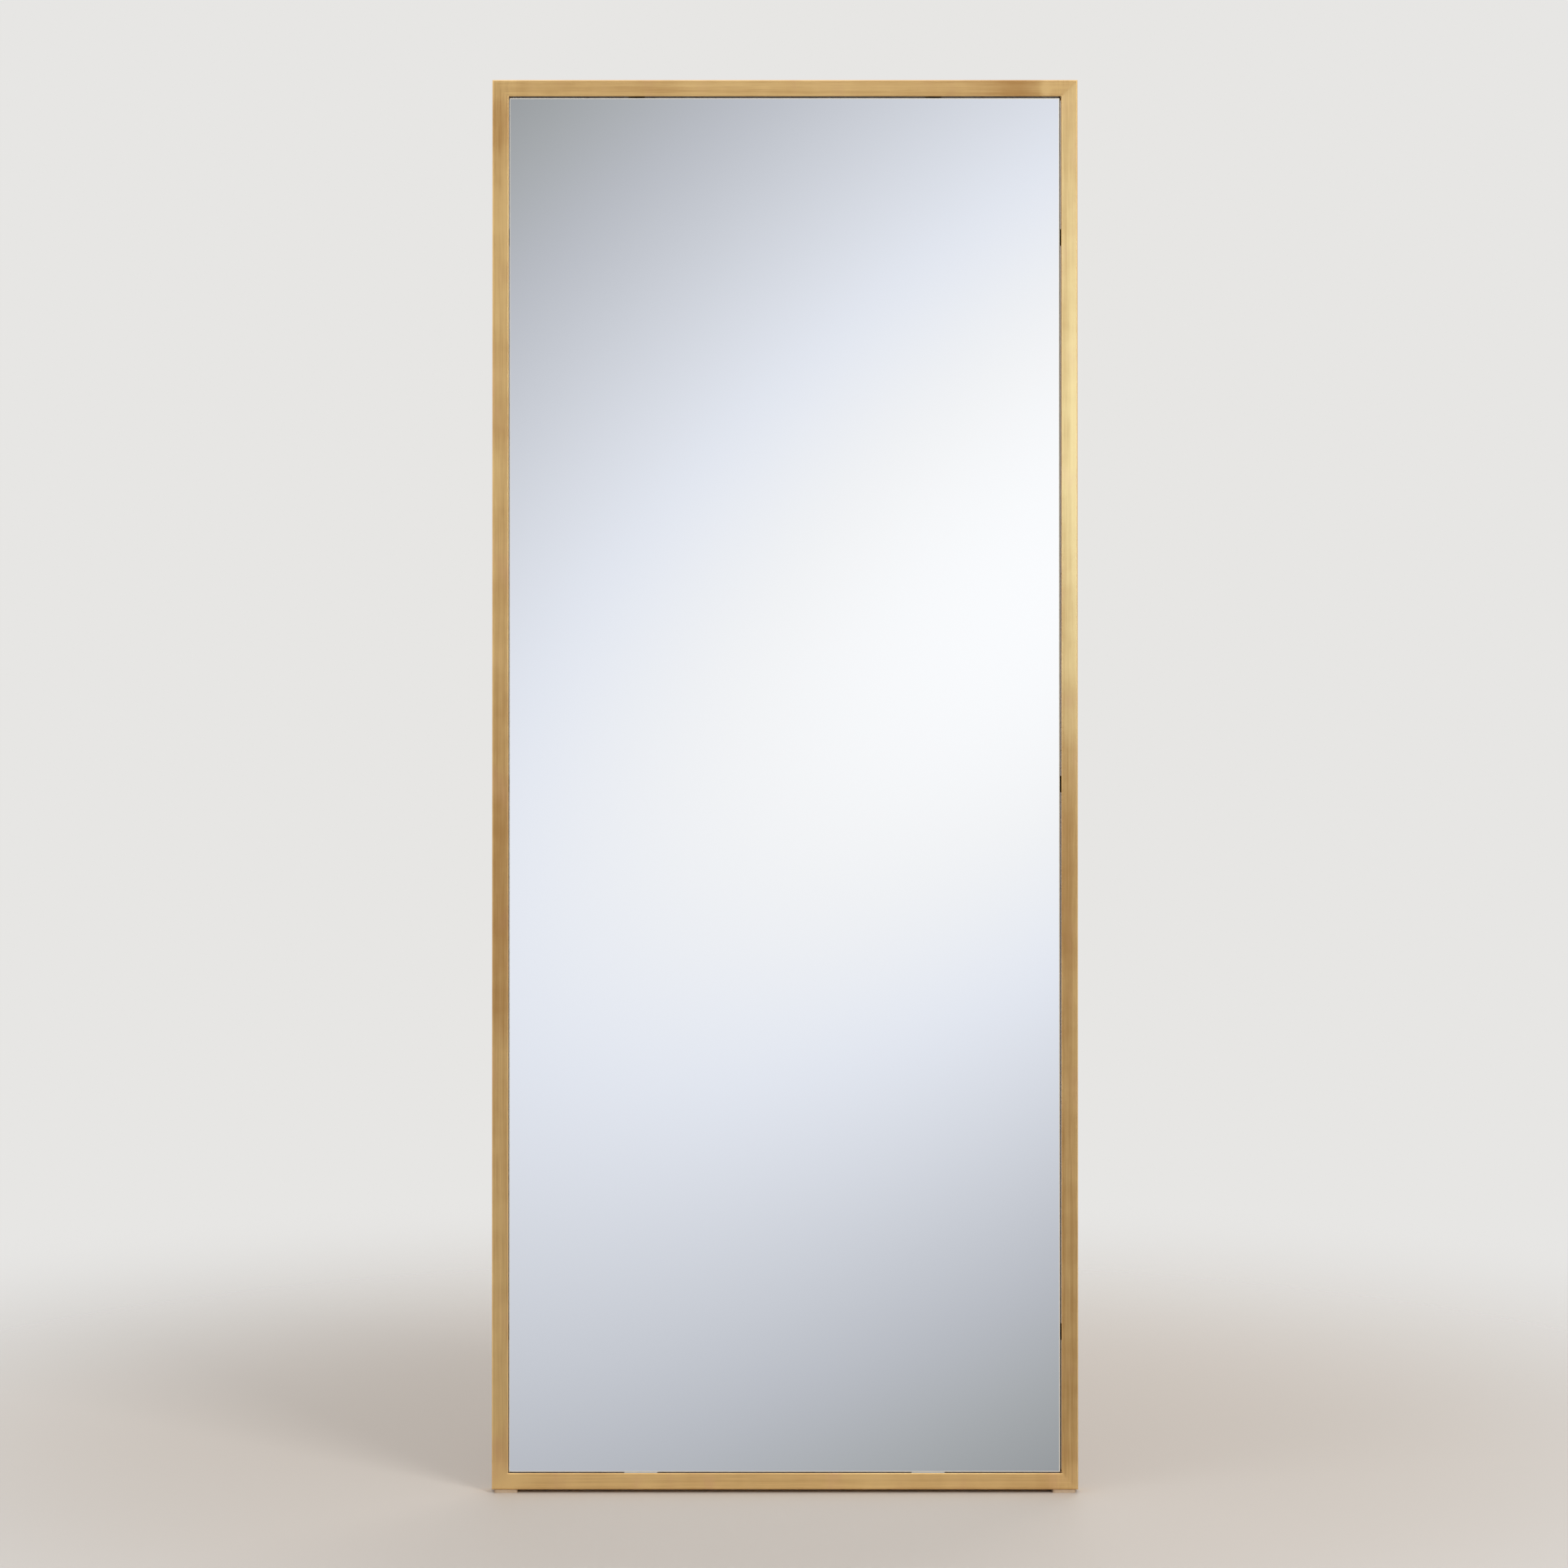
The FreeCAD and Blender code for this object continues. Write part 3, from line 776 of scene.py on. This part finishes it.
@dataclass
class PanHeadScrews(SubAssembly):
    """Pan-head screws with a cross recess, as one group for each holder."""

    head_radius: float = 3.6
    head_height: float = 2.3
    head_power: float = 2.6
    top_share: float = 0.62
    shank_radius: float = 1.75
    thread_depth: float = 0.35
    thread_pitch: float = 1.3
    point_length: float = 2.6
    length: float = 9.5
    recess_reach: float = 2.0
    recess_depth: float = 1.5
    recess_slope: float = 1.15
    recess_half_width: float = 0.5
    recess_wall: float = 0.22
    columns: int = 48
    shank_rows: int = 44
    under_rows: int = 3
    side_rows: int = 8
    top_rows: int = 22
    search_reach: float = 14.0

    def profile(self) -> tuple[np.ndarray, np.ndarray]:
        """Radius and height of the screw's outline from its point to the middle of its head.

        The shank's last stretch is a cone. The head's side is a quarter of a superellipse of the head's
        power, round a flat top, which is the low dome of a pan head.
        """
        down = np.linspace(-self.length, 0, self.shank_rows)
        shank = self.shank_radius * np.clip((down + self.length) / self.point_length, 0, 1)
        under = np.linspace(self.shank_radius, self.head_radius, self.under_rows + 1)[1:]
        turn = np.linspace(0, np.pi / 2, self.side_rows + 1)[1:]
        bulge = np.cos(turn) ** (2 / self.head_power)
        side = self.head_radius * (self.top_share + (1 - self.top_share) * bulge)
        rise = self.head_height * np.sin(turn) ** (2 / self.head_power)
        top = np.linspace(side[-1], 0, self.top_rows + 1)[1:]
        radius = np.concatenate([shank, under, side, top])
        height = np.concatenate([down, np.zeros(len(under)), rise, np.full(len(top), self.head_height)])
        return radius, height

    def screw(self, seat: np.ndarray, turned: float) -> np.ndarray:
        """One screw with the underside of its head at seat, and its recess turned by an angle.

        The thread takes a triangle wave of height and angle off the shank. Inside a band round the nearer
        of two crossed lines, the recess takes off the top its full depth times the slope less the share
        of its reach, clamped, so that it is deepest in the middle.

        Args:
            seat: Upright place of the middle of the head's underside.
            turned: How far the screw is turned, in radians.

        Returns:
            Array of rows by columns by 3, upright.
        """
        radius, height = self.profile()
        angle = np.linspace(0, 2 * np.pi, self.columns, endpoint=False)
        radius, height = radius[:, None] + 0 * angle, height[:, None] + 0 * angle
        phase = (height / self.thread_pitch - angle / (2 * np.pi)) % 1
        in_thread = (height < -self.thread_pitch / 2) & (height > -self.length)
        thread = 1 - self.thread_depth / self.shank_radius * abs(2 * phase - 1)
        radius = radius * np.where(in_thread, thread, 1)
        u, v = radius * np.cos(angle), radius * np.sin(angle)
        nearest = np.minimum(abs(u), abs(v))
        inside = smooth_step(self.recess_half_width - nearest, -self.recess_wall / 2, self.recess_wall / 2)
        inside = inside * smooth_step(self.recess_reach - radius, 0, self.recess_wall)
        sunk = inside * np.clip(self.recess_slope - radius / self.recess_reach, 0, 1) * self.recess_depth
        height = height - np.where(np.isclose(height, self.head_height), sunk, 0)
        cos, sin = math.cos(turned), math.sin(turned)
        return seat + np.stack([u * cos - v * sin, height, u * sin + v * cos], axis=-1)

    def seats(self, group: str, holders: list[str]) -> list[np.ndarray]:
        """Middle of each head's underside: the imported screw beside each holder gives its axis."""
        points = self.place.to_upright(vertices_of(group))
        seats = []
        for holder in holders:
            low, high = self.place.box(holder)
            middle = (low + high) / 2
            near = points[np.abs(points - middle).max(axis=1) < self.search_reach]
            axis = (near.min(0) + near.max(0)) / 2
            seats.append(np.array([axis[0], near[:, 1].max() - self.head_height, axis[2]]))
        return seats

    def build_group(self, group: str, holders: list[str]) -> None:
        """Makes the screws of one packed group and hides the plain ones."""
        seats = self.seats(group, holders)
        turns = np.random.default_rng(len(seats)).uniform(0, np.pi / 2, len(seats))
        screws = [self.screw(seat, turned) for seat, turned in zip(seats, turns)]
        finish = ZincPlate("zinc_plate_screws", self.place)
        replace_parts(self.add_piece(group + "_cross_head", screws, finish, "zinc_steel"), group)


@dataclass
class Hangers(SubAssembly):
    """The folded straps and the rings that swing in them."""

    def build(self) -> None:
        """Finishes the straps and the rings."""
        names = [name for name in nodes_named("hanger_") if "screws" not in name]
        self.dress(names, ZincPlate("zinc_plate_stamped", self.place))


@dataclass
class RubberFeet(SubAssembly):
    """The bumpers against the wall and the pads on the floor."""

    def build(self) -> None:
        """Finishes the bumpers and the pads."""
        black = MouldedSoft("rubber_black_moulded", self.place, SoftKind.BLACK_RUBBER)
        tan = MouldedSoft("rubber_tan_moulded", self.place, SoftKind.TAN_RUBBER)
        self.dress(nodes_named("wall_bumper"), black)
        self.dress(nodes_named("floor_pad"), tan)


# ---- Studio ----


@dataclass(frozen=True)
class SoftPanel:
    """A soft-edged light panel in the surroundings, seen only by reflections.

    Its brightness falls off as a bell curve of the azimuth and elevation, in degrees, from its middle.
    Azimuth 0 is in front of the mirror and grows to the right. Lean tilts the panel's middle line.
    """

    azimuth: float
    elevation: float
    half_width: float
    half_height: float
    strength: float
    lean: float = 0.0

    def add_to(self, graph: NodeGraph, azimuth: Any, elevation: Any) -> Any:
        """Adds the nodes, and gives back the brightness socket."""
        level = graph.add("Math", (azimuth, -self.lean, elevation), operation="MULTIPLY_ADD")
        across = graph.bell(azimuth, self.azimuth, self.half_width)
        up = graph.bell(level, self.elevation, self.half_height)
        both = graph.add("Math", (across, up), operation="MULTIPLY")
        return graph.add("Math", (both, self.strength), operation="MULTIPLY")


@dataclass(frozen=True)
class SoftBox:
    """A lamp behind a diffuser: its place, width and height in world metres, and its power in watts."""

    name: str
    spot: tuple[float, float, float]
    power: float
    size: tuple[float, float]
    reflected: bool = False
    colour: str = "#FFFFFF"

    def build(self, target: np.ndarray) -> None:
        """Adds the lamp, pointed at the target.

        A reflected one stands near the mirror and faces straight back. It lights the stiles alone: light
        linking leaves it off the glass, so that no lamp shows in the mirror, and off the top rail. It
        fades towards its rim: its brightness is the product of 6t(1 - t), whose mean is 1, for t from 0
        to 1 across it and up it.
        """
        data = bpy.data.lights.new(self.name, "AREA")
        data.energy = self.power
        data.shape = "RECTANGLE"
        data.size, data.size_y = self.size
        data.color = linear(self.colour)[:3]
        if self.reflected:
            data.use_nodes = True
            graph = NodeGraph(data.node_tree)
            graph.tree.nodes.clear()
            surface = graph.add("NewGeometry", output="Parametric")
            sides = graph.add("SeparateXYZ", (surface,)).node.outputs
            strength = 1.0
            for side in (sides["X"], sides["Y"]):
                rest = graph.add("Math", (side, -6.0, 6.0), operation="MULTIPLY_ADD")
                hump = graph.add("Math", (side, rest), operation="MULTIPLY")
                strength = graph.add("Math", (hump, strength), operation="MULTIPLY")
            graph.add("OutputLight", {"Surface": graph.add("Emission", {"Strength": strength})})
        lamp = bpy.data.objects.new(self.name, data)
        bpy.context.scene.collection.objects.link(lamp)
        lamp.location = self.spot
        direction = np.array([0.0, 1.0, 0.0]) if self.reflected else target - np.array(self.spot)
        lamp.rotation_euler = look_along(direction)
        lamp.visible_camera = False
        lamp.visible_glossy = self.reflected
        lamp.visible_diffuse = not self.reflected
        if self.reflected:
            receivers = bpy.data.collections.new(f"{self.name}_receivers")
            for name in ("mirror_glass", "top_rail"):
                receivers.objects.link(frame["nodes"][name])
            for receiver in receivers.collection_objects:
                receiver.light_linking.link_state = "EXCLUDE"
            lamp.light_linking.receiver_collection = receivers


@dataclass
class Studio:
    """Pale floor and backdrop, soft lamps, the surroundings that the mirror reflects, and the camera."""

    place: Upright
    lamps: tuple[SoftBox, ...] = (
        SoftBox("key_lamp", (2.6, -3.6, 3.2), 105.0, (1.8, 1.8)),
        SoftBox("fill_lamp", (-3.2, -2.4, 2.0), 24.0, (2.4, 2.4)),
        SoftBox("rear_lamp", (1.2, 3.4, 2.4), 42.0, (2.4, 2.4)),
        SoftBox("highlight_lamp", (0.21, -0.62, 1.385), 1.72, (0.3, 0.98), True, "#A8D4FF"),
    )
    backdrop: str = "#E7E6E4"
    floor_colour: str = "#CDC4BA"
    tint: tuple[float, float, float] = (1.0, 1.01, 1.06)
    panel_dim_tint: tuple[float, float, float, float] = (1.0, 1.03, 1.075, 1.0)
    panel_mid_tint: tuple[float, float, float, float] = (1.0, 1.025, 1.12, 1.0)
    panel_bright_tint: tuple[float, float, float, float] = (1.0, 0.995, 1.015, 1.0)
    panel_mid_glow: tuple[float, float] = (0.38, 0.55)
    panel_bright_glow: tuple[float, float] = (0.82, 1.0)
    ambient: float = 0.55
    floor_radius: float = 2.4
    floor_rings: int = 23
    floor_spokes: int = 96
    floor_fade: tuple[float, float] = (0.45, 2.04)
    floor_roughness: float = 0.65
    sensor_width: float = 36.0
    camera_distance: float = 7.0
    camera_pitch: float = 5.5
    camera_lens: float = 132.42
    camera_shift: float = -0.0012
    front_panel: SoftPanel = SoftPanel(3.31, 7.06, 9.4, 5.9, 1.06, 0.556)
    side_panels: tuple[SoftPanel, ...] = (
        SoftPanel(48.0, 24.0, 16.0, 12.0, 0.9),
        SoftPanel(-55.0, 14.0, 26.0, 20.0, 0.3),
        SoftPanel(0.0, 2.5, 75.0, 6.5, -0.34),
    )
    floor_glow: float = 0.86
    ceiling_glow: float = 1.3
    glow_bottom: float = -10.0
    glow_top: float = 32.0
    window_half_width: float = 17.0
    window_half_height: float = 15.0
    window_power: float = 12.0
    brightest_in_glass: float = 0.94

    def surroundings(self, graph: NodeGraph) -> Any:
        """What metal and glass reflect: pale walls and floor, with soft panels in front.

        Close to the direction that the mirror faces, the front panel alone is seen, as through a window
        with soft edges: a high power of the azimuth and elevation keeps it even in the middle. A clear
        reflection, as in the glass, shows the walls capped below white.

        Returns:
            The colour socket.
        """
        x, y, z = graph.add("SeparateXYZ", (graph.add("TexCoord", output="Generated"),)).node.outputs
        front = graph.add("Math", (y, -1.0), operation="MULTIPLY")
        azimuth = graph.add("Math", (x, front), operation="ARCTAN2")
        azimuth = graph.add("Math", (azimuth,), operation="DEGREES")
        elevation = graph.add("Math", (z,), operation="ARCSINE")
        elevation = graph.add("Math", (elevation,), operation="DEGREES")

        rise = (elevation, self.glow_bottom, self.glow_top, self.floor_glow, self.ceiling_glow)
        walls = graph.add("MapRange", rise, **SMOOTHLY)
        for panel in self.side_panels:
            brightness = panel.add_to(graph, azimuth, elevation)
            walls = graph.add("Math", (walls, brightness), operation="ADD")

        capped = graph.add("Math", (walls, self.brightest_in_glass), operation="MINIMUM")
        clear = graph.add("LightPath", output="Is Singular Ray")
        walls = graph.add("Mix", {0: clear, 2: walls, 3: capped})

        powers = []
        for value, middle, spread in (
            (azimuth, 0.0, self.window_half_width),
            (elevation, self.front_panel.elevation, self.window_half_height),
        ):
            offset = graph.add("Math", (value, middle), operation="SUBTRACT")
            offset = graph.add("Math", (offset,), operation="ABSOLUTE")
            scaled = graph.add("Math", (offset, spread), operation="DIVIDE")
            powers.append(graph.add("Math", (scaled, self.window_power), operation="POWER"))
        total = graph.add("Math", (powers[0], powers[1]), operation="ADD")
        negative = graph.add("Math", (total, -1.0), operation="MULTIPLY")
        window = graph.add("Math", (negative,), operation="EXPONENT")
        glow = self.front_panel.add_to(graph, azimuth, elevation)
        tint = self.panel_dim_tint
        for reach, brighter in (
            (self.panel_mid_glow, self.panel_mid_tint),
            (self.panel_bright_glow, self.panel_bright_tint),
        ):
            share = graph.add("MapRange", (glow, *reach), **SMOOTHLY)
            tint = graph.add("Mix", {0: share, 6: tint, 7: brighter}, 2, **COLOURS)
        panel = graph.add("VectorMath", {0: tint, "Scale": glow}, operation="SCALE")
        room = graph.add("VectorMath", {0: self.tint, "Scale": walls}, operation="SCALE")
        return graph.add("Mix", {0: window, 6: room, 7: panel}, 2, **COLOURS)

    def build_world(self) -> None:
        """The backdrop for the camera, the surroundings for reflections, and an even light for the rest."""
        world = bpy.data.worlds.new("studio")
        bpy.context.scene.world = world
        world.use_nodes = True
        world.node_tree.nodes.clear()
        graph = NodeGraph(world.node_tree)
        path = graph.add("LightPath").node.outputs
        rays = (path["Is Camera Ray"], path["Is Transmission Ray"])
        seen = graph.add("Math", rays, operation="MAXIMUM")
        even = (self.ambient, self.ambient, self.ambient, 1.0)
        colour = graph.add("Mix", {0: seen, 6: even, 7: linear(self.backdrop)}, 2, **COLOURS)
        reflected = {0: path["Is Glossy Ray"], 6: colour, 7: self.surroundings(graph)}
        colour = graph.add("Mix", reflected, 2, **COLOURS)
        background = graph.add("Background", {"Color": colour, "Strength": 1.0})
        graph.add("OutputWorld", {"Surface": background})

    def build_floor(self) -> None:
        """A pale disc round the object: rings of quads, with a fan of triangles in the middle."""
        rings = np.linspace(self.floor_radius, 0, self.floor_rings, endpoint=False)[:, None]
        turn = np.linspace(0, 2 * np.pi, self.floor_spokes, endpoint=False)[None, :]
        flat = [rings * np.cos(turn), rings * np.sin(turn), 0 * rings * turn]
        points, quads = closed_grid(np.stack(flat, axis=-1))
        first = np.arange(self.floor_spokes)
        inner = len(points) - self.floor_spokes
        middle = np.full_like(first, len(points))
        fan = np.stack([middle, inner + first, inner + (first + 1) % self.floor_spokes], axis=-1)
        mesh = bpy.data.meshes.new("floor")
        mesh.from_pydata(np.vstack([points, [0, 0, 0]]), [], quads.tolist() + fan.tolist())
        floor = bpy.data.objects.new("floor", mesh)
        bpy.context.scene.collection.objects.link(floor)
        mesh.materials.append(self.floor_material())

    def floor_material(self) -> bpy.types.Material:
        """Matt pale floor paint. It turns see-through with the distance, so that no edge shows."""
        material = bpy.data.materials.new("floor_paint")
        material.use_nodes = True
        material.node_tree.nodes.clear()
        graph = NodeGraph(material.node_tree)
        place = graph.add("TexCoord", output="Object")
        distance = graph.add("VectorMath", (place,), 1, operation="LENGTH")
        clear = graph.add("MapRange", (distance, *self.floor_fade), interpolation_type="SMOOTHERSTEP")
        coat = {"Base Color": linear(self.floor_colour), "Roughness": self.floor_roughness}
        paint = graph.add("BsdfPrincipled", coat)
        shown = graph.add("MixShader", (clear, paint, graph.add("BsdfTransparent")))
        graph.add("OutputMaterial", {"Surface": shown})
        return material

    def face_centre(self) -> np.ndarray:
        """World place of the middle of the mirror's front face."""
        return self.place.to_world(np.array([0.0, 0.0, self.place.height / 2]))

    def build_camera(self) -> None:
        """A long lens at the photograph's angle, level from side to side and pitched down a little."""
        data = bpy.data.cameras.new("camera")
        data.lens = self.camera_lens
        data.sensor_width = self.sensor_width
        camera = bpy.data.objects.new("camera", data)
        bpy.context.scene.collection.objects.link(camera)
        pitch = math.radians(self.camera_pitch)
        aim = np.array([0.0, math.cos(pitch), -math.sin(pitch)])
        camera.location = self.face_centre() - aim * self.camera_distance + [self.camera_shift, 0, 0]
        camera.rotation_euler = look_along(aim)
        bpy.context.scene.camera = camera

    def build(self) -> None:
        """Builds the whole studio."""
        bpy.context.scene.view_settings.view_transform = "Standard"
        self.build_world()
        self.build_floor()
        for lamp in self.lamps:
            lamp.build(self.face_centre())
        self.build_camera()


def look_along(direction: np.ndarray) -> tuple[float, float, float]:
    """Euler angles that point a lamp or a camera, whose own view is down its Z axis, along a direction."""
    x, y, z = direction / np.linalg.norm(direction)
    return (math.acos(-z), 0.0, math.atan2(y, x) - math.pi / 2)


# ---- Main ----


def main() -> None:
    """Builds the sub-assemblies in order, then the studio."""
    logging.basicConfig(level=logging.INFO, format="%(name)s %(message)s")
    place = Upright.read()
    log.info("lean %.2f degrees, %.1f x %.1f mm", math.degrees(place.lean), place.width, place.height)
    tabs = nodes_named("fixing_tab")
    WeldedFrame(place, tabs).build()
    GlazedPanel(place).build()
    screws = PanHeadScrews(place)
    screws.build_group("tab_screws", tabs)
    screws.build_group("hanger_screws", nodes_named("hanger_strap"))
    Hangers(place).build()
    RubberFeet(place).build()
    Studio(place).build()


if __name__ == "__main__":
    main()
